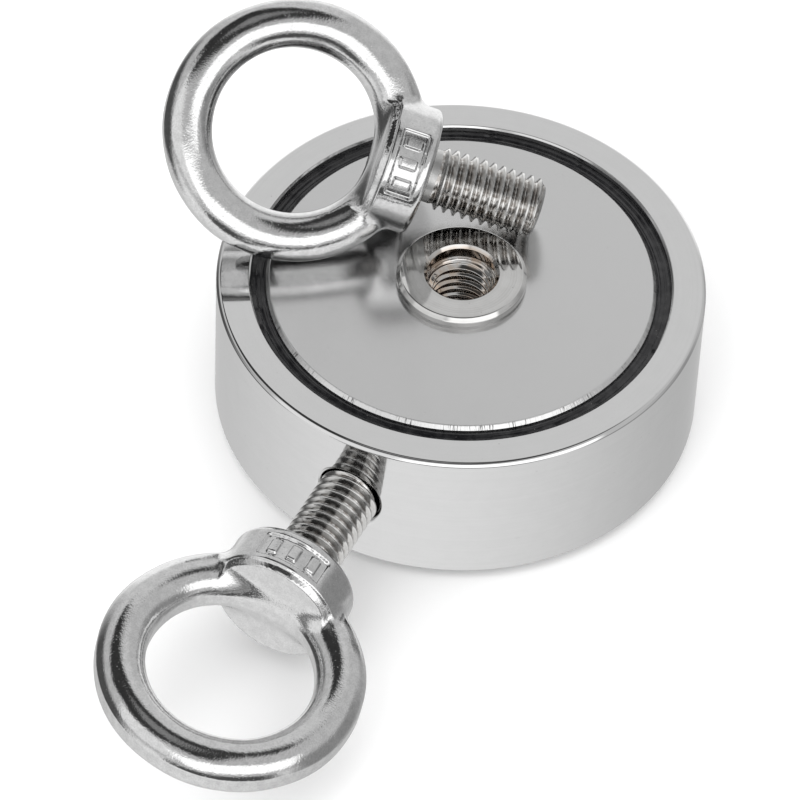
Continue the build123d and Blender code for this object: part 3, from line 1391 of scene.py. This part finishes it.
@dataclass
class FaceStack(SubAssembly):
    """One side's magnet, seal ring and bush, with the film and potting behind them.

    Attributes:
        side: which side it is.
        magnet_r: outer radius of the magnet.
        bore_r: radius of its bore.
        face_h: height of its face over the middle.
        back_h: height of its back.
        floor_h: height of the pocket's floor.
        seal_r: outer radius of the seal ring.
        seal_h: height of the seal ring's top.
        edge_chamfer: chamfer round the magnet's face.
        edge_rounding: rounding of the magnet's edges.
        magnet_segments: faces to a turn of the magnet.
        climb: how far in and how deep the resin stands at the pot's wall, and its rounding.
        valley: the rest of its top: place from its middle line, depth and rounding.
        seal_segments: faces to a turn of the seal ring.
        settle_depth: depth below the top that takes no part in the settling.
        settle_fade: height over which the settling comes in.
        swell_turns: waves to a turn in the settled top.
        swell_height: height of each wave.
        swell_level: how far the settling lowers the top, in wave heights.
        chips: number of chips in the outer edge.
        chip_width: least and greatest half width of a chip, in radians.
        chip_depth: depth of a chip.
        chip_reach: how far a chip fades in from the middle line.
        seed: seed of the chips and waves.
    """

    side: Side
    magnet_r: float = box_mm("upper_magnet")[1].x
    bore_r: float = 7.5
    face_h: float = box_mm("upper_magnet")[1].z - MID_Z
    back_h: float = box_mm("upper_magnet")[0].z - MID_Z
    floor_h: float = box_mm("upper_adhesive_film")[0].z - MID_Z
    seal_r: float = box_mm("upper_seal_ring")[1].x
    seal_h: float = box_mm("upper_seal_ring")[1].z - MID_Z
    edge_chamfer: float = 0.6
    edge_rounding: float = 0.1
    magnet_segments: int = 360
    climb: "tuple[float, float, float]" = (0.25, 0.06, 0.3)
    valley: "tuple[tuple[float, float, float], ...]" = (
        (0.42, 0.05, 0.15),
        (0.12, 0.25, 0.12),
        (-0.35, 0.2, 0.3),
        (-0.6, 0.04, 0.15),
    )
    seal_segments: int = 720
    settle_depth: float = 0.6
    settle_fade: float = 0.3
    swell_turns: "tuple[int, ...]" = (3, 7, 16, 29, 53)
    swell_height: float = 0.02
    swell_level: float = 4.0
    chips: int = 9
    chip_width: "tuple[float, float]" = (0.012, 0.03)
    chip_depth: float = 0.2
    chip_reach: float = 0.8
    seed: int = 7

    def put(self, shell: Shell, name: str, finishes: Sequence[Finish], slot: str) -> None:
        """Turns a shell into this side's piece and node of that name."""
        node = f"{self.side.value}_{name}"
        shell.to_piece(f"{node}_form", finishes, self.side.placement(), "pot", [node], slot)

    def magnet(self) -> Shell:
        """Makes the magnet.

        Returns:
            A flat ring with its face's edges broken.
        """
        outline = [
            Corner(self.bore_r, self.back_h),
            Corner(self.magnet_r, self.back_h),
            Corner(self.magnet_r, self.face_h - self.edge_chamfer, self.edge_rounding),
            Corner(self.magnet_r - self.edge_chamfer, self.face_h, self.edge_rounding),
            Corner(self.bore_r, self.face_h, self.edge_rounding),
            Corner(self.bore_r, self.back_h),
        ]
        return lathe(outline, self.magnet_segments)

    def seal(self) -> Shell:
        """Makes the seal ring.

        Returns:
            A poured ring that climbs both walls, sinks between them and has chips.
        """
        middle = (self.magnet_r + self.seal_r) / 2
        inward, down, rounding = self.climb
        outline = [
            Corner(self.magnet_r, self.floor_h),
            Corner(self.seal_r, self.floor_h),
            Corner(self.seal_r, self.seal_h),
            Corner(self.seal_r - inward, self.seal_h - down, rounding),
            *(Corner(middle + out, self.seal_h - depth, soft) for out, depth, soft in self.valley),
            Corner(self.magnet_r, self.seal_h),
            Corner(self.magnet_r, self.floor_h),
        ]
        draw = np.random.default_rng(self.seed)
        chip_at = draw.uniform(0, 2 * np.pi, self.chips)
        chip_size = draw.uniform(*self.chip_width, self.chips)
        phases = draw.uniform(0, 2 * np.pi, len(self.swell_turns))

        def settle(grid: np.ndarray) -> np.ndarray:
            """Lowers the top unevenly and takes the chips out of its outer edge.

            Args:
                grid: the ring's points.

            Returns:
                The points, moved.
            """
            angle = np.arctan2(grid[..., 1], grid[..., 0])
            top = np.clip((grid[..., 2] - self.seal_h + self.settle_depth) / self.settle_fade, 0, 1)
            from_middle = np.hypot(grid[..., 0], grid[..., 1]) - middle
            outer = np.clip(from_middle / self.chip_reach, 0, 1)
            swell = sum(np.sin(angle * turns + phase) for turns, phase in zip(self.swell_turns, phases))
            sink = self.swell_height * (swell + self.swell_level)
            for at, size in zip(chip_at, chip_size):
                away = np.abs((angle - at + np.pi) % (2 * np.pi) - np.pi) / size
                sink = sink + self.chip_depth * np.exp(-(away**2)) * outer
            lowered = grid.copy()
            lowered[..., 2] -= top * sink
            return lowered

        return lathe(outline, self.seal_segments, wobble=settle)

    def build(self) -> None:
        """Makes the side's pieces and dresses the CAD nodes that stay."""
        self.put(self.magnet(), "magnet", [MAGNET_PLATE], "magnet_nickel")
        self.put(self.seal(), "seal_ring", [RESIN], "potting")
        Bush(self.side).build()
        for node, finish in (("adhesive_film", ADHESIVE), ("bore_potting", RESIN)):
            dress_node(f"{self.side.value}_{node}", finish)


def dress_node(name: str, finish: Finish) -> None:
    """Gives a CAD node that stays its finish.

    Args:
        name: the node.
        finish: its finish.
    """
    node = frame["nodes"][name]
    for material_slot in node.material_slots:
        material_slot.link = "OBJECT"
        material_slot.material = finish.material()
    log.info("%s: CAD node kept, finish %s", name, finish.name)


@dataclass
class Bush(SubAssembly):
    """A flanged bush with a plain entry and a tapped bore.

    Attributes:
        side: which side it is on.
        flange_r: radius of the flange.
        flange_h: height of the flange's top over the middle.
        face_h: height that the flange sits at.
        foot_h: height of the sleeve's foot.
        entry_h: height at which the tapped wall begins.
        tapped_r: radius of the thread's crests.
        sleeve_r: radius of the sleeve.
        entry_r: radius of the plain entry.
        mouth_chamfer: chamfer of the entry's mouth.
        edge: chamfer of the flange's top edge.
        relief: chamfer under the flange.
        rim_rounding: rounding of the flange's lower edge and of the mouth's edges.
        shoulder: rounding where the flange's side meets its chamfer.
        crown: rounding where the flange's top meets that chamfer.
        step_rounding: rounding at the foot of the entry.
        thread_depth: depth of the thread.
        foot_fade: length over which the thread runs out at the foot.
        entry_fade: length over which it runs out at the entry.
        segments: faces to a turn.
    """

    side: Side
    flange_r: float = box_mm("upper_bush")[1].x
    flange_h: float = box_mm("upper_bush")[1].z - MID_Z
    face_h: float = box_mm("upper_magnet")[1].z - MID_Z
    foot_h: float = box_mm("upper_bush")[0].z - MID_Z
    entry_h: float = -MID_Z
    tapped_r: float = mount("upper_thread")["dims"]["r_mm"]
    sleeve_r: float = SLEEVE_R
    entry_r: float = 5.3
    mouth_chamfer: float = 0.5
    edge: float = 0.6
    relief: float = 0.3
    rim_rounding: float = 0.12
    shoulder: float = 0.25
    crown: float = 0.3
    step_rounding: float = 0.1
    thread_depth: float = 0.78
    foot_fade: float = 0.4
    entry_fade: float = 0.7
    segments: int = 144

    def build(self) -> None:
        """Makes the bush: a turned outside and entry, and a helical thread."""
        foot_r = self.tapped_r + self.thread_depth
        outline = [
            Corner(foot_r, self.foot_h),
            Corner(self.sleeve_r, self.foot_h),
            Corner(self.sleeve_r, self.face_h),
            Corner(self.flange_r - self.relief, self.face_h),
            Corner(self.flange_r, self.face_h + self.relief, self.rim_rounding),
            Corner(self.flange_r, self.flange_h - self.edge, self.shoulder),
            Corner(self.flange_r - self.edge, self.flange_h, self.crown),
            Corner(self.entry_r + self.mouth_chamfer, self.flange_h, self.rim_rounding),
            Corner(self.entry_r, self.flange_h - self.mouth_chamfer, self.rim_rounding),
            Corner(self.entry_r, self.entry_h, self.step_rounding),
            Corner(foot_r, self.entry_h),
        ]
        form = ThreadForm(THREAD_PITCH, self.tapped_r, foot_r, BORE_THREAD)
        low = ThreadEnd(self.foot_h, foot_r, self.foot_fade)
        high = ThreadEnd(self.entry_h, foot_r, self.entry_fade)
        thread = helix(form, low, high, self.segments, inside=True)
        shell = Shell.joined(lathe(outline, self.segments), thread)
        node = f"{self.side.value}_bush"
        shell.to_piece(f"{node}_form", [BUSH_PLATE], self.side.placement(), "pot", [node], "bush_nickel")


# The eyebolts


@dataclass
class Eyebolt(SubAssembly):
    """A forged eyebolt. Its own axes: X towards the tip, Z square to the ring.

    Attributes:
        node: its CAD node, which is also its body.
        eye: the record's mount at the ring's centre.
        ring_r: radius of the bar's centre line.
        bar_r: radius of the bar.
        outer_trim: how much is ground off the outside of the ring.
        inner_trim: how much is ground off its inside.
        outer_trim_edge: softness of the outer ground edge.
        inner_trim_edge: softness of the inner one.
        uneven: height of the forging's unevenness.
        uneven_drop: how far that is let in, so that the ring stays inside its size.
        collar_start: where the collar begins along X.
        collar_end: where it ends.
        collar_r: radius of the collar.
        boss_r: radius of the boss on the collar's ring side.
        boss_height: how far the boss stands out.
        boss_edge: width of the boss's edge.
        ring_edge: rounding of the collar's edge on the ring side.
        tip_edge: rounding of its edge on the tip side.
        inner_fillet: fillet between ring and collar inside the ring.
        outer_fillet: the same outside it.
        fillet_from: distance from the ring's centre at which the fillet begins to widen.
        fillet_over: distance over which it widens.
        cartouche: half length and half height of the recess in the collar.
        cartouche_depth: its depth.
        cartouche_station: where it lies along X.
        cartouche_corner: radius of its corners.
        cartouche_edge: width of its sloping edge.
        bars: places of the plain bars along the recess.
        bar_half: half width and half height of a bar.
        bar_corner: radius of a bar's corners.
        bar_edge: width of a bar's sloping edge.
        bar_height: height of a bar as a share of the recess's depth.
        neck_r: radius of the neck.
        neck_end: where the neck ends along X.
        neck_flare: how much wider the neck is at the collar.
        neck_sunk: how deep it starts inside the collar.
        neck_lip: where its flare ends, past the collar.
        neck_start: where its full neck begins, past the collar.
        neck_lip_rounding: rounding of the flare's edge.
        neck_root_rounding: rounding at the flare's foot.
        crest_r: radius of the thread's crests.
        root_r: radius of its roots.
        neck_fade: length over which the thread runs out at the neck.
        tip_fade: length over which it runs out at the tip.
        tip_r: radius of the tip's flat end.
        tip_chamfer: chamfer of the tip.
        tip_rounding: rounding of the tip's edge.
        margin: space searched past the forging's size.
        cell: size of the cells that the forging's net is made from.
        segments: faces to a turn of the shank.
        tip: distance of the tip from the ring's centre, read from the frame.
        placement: from its own axes to the frame, read from the frame.
    """

    node: str
    eye: str
    ring_r: float = 16.4
    bar_r: float = 3.9
    outer_trim: float = 0.2
    inner_trim: float = 0.1
    outer_trim_edge: float = 0.06
    inner_trim_edge: float = 0.05
    uneven: float = 0.035
    uneven_drop: float = 0.03
    collar_start: float = 14.0
    collar_end: float = 21.0
    collar_r: float = 10.0
    boss_r: float = 9.4
    boss_height: float = 1.0
    boss_edge: float = 0.7
    ring_edge: float = 0.4
    tip_edge: float = 1.1
    inner_fillet: float = 2.2
    outer_fillet: float = 1.2
    fillet_from: float = 18.0
    fillet_over: float = 3.5
    cartouche: "tuple[float, float]" = (5.4, 2.05)
    cartouche_depth: float = 0.5
    cartouche_station: float = 17.2
    cartouche_corner: float = 0.4
    cartouche_edge: float = 0.42
    bars: "tuple[float, ...]" = (-3.4, 0.0, 3.4)
    bar_half: "tuple[float, float]" = (0.8, 1.35)
    bar_corner: float = 0.3
    bar_edge: float = 0.4
    bar_height: float = 0.85
    neck_r: float = 4.2
    neck_end: float = 22.7
    neck_flare: float = 0.5
    neck_sunk: float = 0.8
    neck_lip: float = 0.05
    neck_start: float = 0.5
    neck_lip_rounding: float = 0.1
    neck_root_rounding: float = 0.3
    crest_r: float = 4.9
    root_r: float = 4.05
    neck_fade: float = 1.1
    tip_fade: float = 0.9
    tip_r: float = 3.75
    tip_chamfer: float = 0.35
    tip_rounding: float = 0.1
    margin: float = 0.7
    cell: float = 0.225
    segments: int = 112
    tip: float = field(init=False)
    placement: Matrix = field(init=False)

    def __post_init__(self) -> None:
        """Reads the eyebolt's place and length from its CAD node and its mount."""
        centre = Vector(mount(self.eye)["pos_m"])
        normal = Vector(mount(self.eye)["axis"]).normalized()
        mesh = frame["nodes"][self.node].data
        points = np.array([v.co for v in mesh.vertices]) - np.array(centre)
        distance = np.linalg.norm(points, axis=1)
        far = points[distance > TIP_SHARE * distance.max()]
        ahead = Vector(far.mean(axis=0))
        for _ in range(AIM_PASSES):
            ahead = (ahead - normal * ahead.dot(normal)).normalized()
            aside = normal.cross(ahead)
            across = far @ np.array(aside)
            ahead = ahead + aside * float((across.max() + across.min()) / 2 / distance.max())
        ahead.normalize()
        self.tip = float((points @ np.array(ahead)).max() / MM)
        turn = Matrix((ahead, normal.cross(ahead), normal)).transposed().to_4x4()
        self.placement = Matrix.Translation(centre) @ turn

    def eye_field(self, points: np.ndarray) -> np.ndarray:
        """Distance of points from the forging's ring and collar.

        Args:
            points: rows of x, y, z.

        Returns:
            A distance for each row, negative inside.
        """
        x, y, z = points.T
        out = np.hypot(x, y)
        bar = np.hypot(out - self.ring_r, z) - self.bar_r
        bar = trimmed(bar, out - (self.ring_r + self.bar_r - self.outer_trim), self.outer_trim_edge)
        bar = trimmed(bar, (self.ring_r - self.bar_r + self.inner_trim) - out, self.inner_trim_edge)
        uneven = np.sin(0.31 * x + 1.3) * np.sin(0.27 * y + 0.4)
        uneven = uneven + 0.6 * np.sin(0.52 * y - 0.4 * x + 0.7 * z)
        bar = bar + self.uneven * uneven + self.uneven_drop
        inward = np.clip((self.fillet_from - out) / self.fillet_over, 0, 1)
        fillet = self.outer_fillet + (self.inner_fillet - self.outer_fillet) * inward
        return blended(bar, self.collar_field(x, y, z), fillet)

    def collar_field(self, x: np.ndarray, y: np.ndarray, z: np.ndarray) -> np.ndarray:
        """Distance of points from the collar, which has a recess with plain bars on two sides.

        Args:
            x: place along the bolt.
            y: place across the ring.
            z: place out of the ring's plane.

        Returns:
            A distance for each point, negative inside.
        """
        middle = (self.collar_start + self.collar_end) / 2
        half = (self.collar_end - self.collar_start) / 2
        edge = np.where(x > middle, self.tip_edge, self.ring_edge)
        across = np.hypot(y, z)
        boss = np.where(x < middle, self.boss_height * within(across - self.boss_r, self.boss_edge), 0)
        a = np.abs(x - middle) - half - boss + edge
        b = across - self.collar_r + edge
        body = np.hypot(np.maximum(a, 0), np.maximum(b, 0)) + np.minimum(np.maximum(a, b), 0) - edge
        along = np.arctan2(y, np.abs(z)) * self.collar_r
        level = x - self.cartouche_station
        plate = rounded_plate(along, level, self.cartouche, self.cartouche_corner)
        bars = [rounded_plate(along - at, level, self.bar_half, self.bar_corner) for at in self.bars]
        raised = sum(within(bar, self.bar_edge) for bar in bars)
        recess = within(plate, self.cartouche_edge)
        return body + self.cartouche_depth * (recess - self.bar_height * raised)

    def eye_shell(self) -> Shell:
        """Makes the ring and the collar as one forging.

        Returns:
            The forging's skin.
        """
        reach, thick = self.ring_r + self.bar_r + self.margin, self.collar_r + self.margin
        low, high = (-reach, -reach, -thick), (self.collar_end + self.margin, reach, thick)
        return skin(self.eye_field, low, high, self.cell)

    def shank_shell(self) -> Shell:
        """Makes the shank.

        Returns:
            Its neck, its helical thread with a rolled seam along the crest, and its tip.
        """
        thread_end = self.tip - self.tip_chamfer
        tip_side = self.tip_r + self.tip_chamfer
        flare_r = self.neck_r + self.neck_flare
        neck = [
            Corner(0.0, self.collar_end - self.neck_sunk),
            Corner(flare_r, self.collar_end - self.neck_sunk),
            Corner(flare_r, self.collar_end + self.neck_lip, self.neck_lip_rounding),
            Corner(self.neck_r, self.collar_end + self.neck_start, self.neck_root_rounding),
            Corner(self.neck_r, self.neck_end),
        ]
        cap = [
            Corner(tip_side, thread_end),
            Corner(self.tip_r, self.tip, self.tip_rounding),
            Corner(0.0, self.tip),
        ]
        form = ThreadForm(THREAD_PITCH, self.crest_r, self.root_r, SHANK_THREAD)
        low = ThreadEnd(self.neck_end, self.neck_r, self.neck_fade)
        high = ThreadEnd(thread_end, tip_side, self.tip_fade)
        thread = helix(form, low, high, self.segments, inside=False, slot=1)
        turned_ends = [lathe(outline, self.segments) for outline in (neck, cap)]
        return Shell.joined(*turned_ends, thread).along_x()

    def build(self) -> None:
        """Makes the forging and its shank."""
        tie = (self.placement, self.node, [self.node], "eyebolt_steel")
        self.eye_shell().to_piece(f"{self.node}_eye", [FORGED], *tie)
        self.shank_shell().to_piece(f"{self.node}_shank", [NECK, THREAD], *tie)


# The studio


@dataclass(frozen=True)
class Card:
    """A patch of the surroundings that is lighter or darker than the rest.

    Attributes:
        azimuth: where its centre is, in degrees from the side that faces -Y.
        elevation: how high its centre is, in degrees.
        half: tangent of half its width and of half its height.
        brightness: its brightness.
        soft: share of its size over which its edge fades.
    """

    azimuth: float
    elevation: float
    half: "tuple[float, float]"
    brightness: float
    soft: float = 0.35

    def axes(self) -> "tuple[Vector, Vector, Vector]":
        """Works out which way the card faces.

        Returns:
            Directions to its centre, to its right and up.
        """
        a, e = math.radians(self.azimuth), math.radians(self.elevation)
        to = Vector((math.sin(a) * math.cos(e), -math.cos(a) * math.cos(e), math.sin(e)))
        right = Vector((math.cos(a), math.sin(a), 0))
        return to, right, to.cross(right)

    def mask(self, tree: NodeTree, direction: Signal) -> Signal:
        """Marks where the card is.

        Args:
            tree: the world's node tree.
            direction: the direction looked in.

        Returns:
            1 on the card and 0 off it.
        """
        to, right, up = self.axes()
        facing = tree.dot(direction, to)
        ahead = facing.maths("MAXIMUM", facing, 0.01)
        shown = facing.ramp(0.02, 0.1)
        for axis, half in zip((right, up), self.half):
            away = abs(tree.dot(direction, axis) / ahead)
            shown = shown * away.ramp(half * (1 + self.soft), half * (1 - self.soft))
        return shown


@dataclass(frozen=True)
class Softbox:
    """A broad soft light from far off.

    Attributes:
        name: its name.
        towards: direction to it.
        width: how wide it looks, in degrees.
        strength: its strength.
    """

    name: str
    towards: "tuple[float, float, float]"
    width: float
    strength: float


@dataclass
class Studio(SubAssembly):
    """Pale floor, soft light and the camera.

    Attributes:
        azimuth: where the camera stands round the object, in degrees.
        elevation: how high it looks down from, in degrees.
        roll: how far it leans, in degrees.
        distance: from the rim's centre, in metres.
        aside: how far it is moved across and up its own view, in metres.
        lens: focal length, in millimetres.
        sensor: width of the sensor, in millimetres.
        clip: nearest and furthest distance that is drawn, in metres.
        floor_size: length of the floor's sides, in metres.
        low: brightness of the surroundings below the horizon.
        high: their brightness above it.
        lean: how their brightness below it changes with direction.
        horizon: heights between which one gives way to the other.
        softboxes: the lights.
        cards: the patches of the surroundings.
    """

    azimuth: float = 24.7
    elevation: float = 49.0
    roll: float = 2.757
    distance: float = 0.86219
    aside: "tuple[float, float]" = (-0.009391, -0.018506)
    lens: float = 253.70
    sensor: float = 36.0
    clip: "tuple[float, float]" = (0.05, 20.0)
    floor_size: float = 6.0
    low: float = 0.82
    high: float = 0.70
    lean: "tuple[float, float, float]" = (0.033, -0.38, 0.0)
    horizon: "tuple[float, float]" = (-0.2, 0.15)
    softboxes: "tuple[Softbox, ...]" = (
        Softbox("overhead_softbox", (0.1, 0.1, 1.2), 75.0, 1.6),
        Softbox("front_softbox", (-0.5, -0.9, 0.9), 60.0, 1.3),
    )
    cards: "tuple[Card, ...]" = (
        Card(-155, 42, (0.55, 0.34), 0.84, 0.3),
        Card(-90, 82, (0.54, 0.50), 0.06, 0.2),
        Card(-108, 62, (0.40, 0.32), 0.05, 0.15),
        Card(-90, 84, (0.20, 0.18), 0.30, 0.3),
        Card(-80, -5, (0.66, 0.42), 0.11, 0.4),
        Card(25, -14, (0.75, 0.24), 0.11, 0.3),
        Card(110, -8, (0.60, 0.50), 0.36, 0.4),
        Card(42, 29, (0.82, 0.33), 1.8, 0.1),
        Card(-30, 31, (0.42, 0.36), 1.1, 0.15),
        Card(-160, -8, (0.60, 0.50), 1.3, 0.4),
    )

    def camera(self) -> None:
        """Sets the camera, moved parallel to its view to frame the object."""
        a, e, r = (math.radians(d) for d in (self.azimuth, self.elevation, self.roll))
        back = Vector((math.sin(a) * math.cos(e), -math.cos(a) * math.cos(e), math.sin(e)))
        level = Vector((math.cos(a), math.sin(a), 0))
        upright = back.cross(level)
        right = level * math.cos(r) + upright * math.sin(r)
        up = upright * math.cos(r) - level * math.sin(r)
        target = Vector((0, 0, POT_HIGH.z * MM))
        place = target + back * self.distance + right * self.aside[0] + up * self.aside[1]
        data = bpy.data.cameras.new("camera")
        data.sensor_width = self.sensor
        data.lens = self.lens
        data.clip_start, data.clip_end = self.clip
        made = bpy.data.objects.new("camera", data)
        made.matrix_world = Matrix.Translation(place) @ Matrix((right, up, back)).transposed().to_4x4()
        bpy.context.scene.collection.objects.link(made)
        bpy.context.scene.camera = made

    def floor(self) -> None:
        """Lays the pale floor under the lower bush's flange."""
        half = self.floor_size / 2
        z = CAD_BOX[0].z
        mesh = bpy.data.meshes.new("studio_floor")
        corners = [(-half, -half, z), (half, -half, z), (half, half, z), (-half, half, z)]
        mesh.from_pydata(corners, [], [(0, 1, 2, 3)])
        mesh.materials.append(SWEEP.material())
        made = bpy.data.objects.new("studio_floor", mesh)
        made.visible_glossy = False
        bpy.context.scene.collection.objects.link(made)

    def surroundings(self) -> None:
        """Paints the soft surroundings that the metal reflects, plain white to the eye."""
        world = bpy.data.worlds.new("studio_surroundings")
        world.use_nodes = True
        bpy.context.scene.world = world
        tree = NodeTree(world.node_tree)
        direction = tree.add("ShaderNodeTexCoord", output="Generated")
        below = tree.dot(direction, self.lean) + self.low
        light = below + (self.high - below) * tree.dot(direction, (0, 0, 1)).ramp(*self.horizon)
        for card in self.cards:
            mask = card.mask(tree, direction)
            light = light * (1 - mask) + mask * card.brightness
        reflected = tree.add("ShaderNodeBackground", None, {"Color": (1, 1, 1, 1), "Strength": light})
        seen = tree.add("ShaderNodeBackground", None, {"Color": (1, 1, 1, 1), "Strength": 1.0})
        eye = tree.add("ShaderNodeLightPath", output="Is Camera Ray")
        both = tree.add("ShaderNodeMixShader", None, {"Fac": eye, 1: reflected, 2: seen})
        tree.finish("ShaderNodeOutputWorld", {"Surface": both})

    def lamp(self, softbox: Softbox) -> None:
        """Adds a light, which the metal doesn't mirror.

        Args:
            softbox: the light.
        """
        data = bpy.data.lights.new(softbox.name, "SUN")
        data.angle = math.radians(softbox.width)
        data.energy = softbox.strength
        made = bpy.data.objects.new(softbox.name, data)
        made.rotation_mode = "QUATERNION"
        made.rotation_quaternion = Vector(softbox.towards).to_track_quat("Z", "Y")
        made.visible_glossy = False
        bpy.context.scene.collection.objects.link(made)

    def build(self) -> None:
        """Sets up the studio."""
        self.camera()
        self.floor()
        self.surroundings()
        for softbox in self.softboxes:
            self.lamp(softbox)
        bpy.context.scene.view_settings.view_transform = "Standard"
        log.info("studio ready")


def main() -> None:
    """Builds the studio and every sub-assembly, in order."""
    logging.basicConfig(level=logging.INFO, format="%(message)s")
    sub_assemblies: "list[SubAssembly]" = [
        Studio(),
        SteelPot(),
        FaceStack(Side.UPPER),
        FaceStack(Side.LOWER, seed=11),
        Eyebolt("side_eyebolt", "side_eye"),
        Eyebolt("loose_eyebolt", "loose_eye"),
    ]
    for sub_assembly in sub_assemblies:
        sub_assembly.build()


if __name__ == "__main__":
    main()
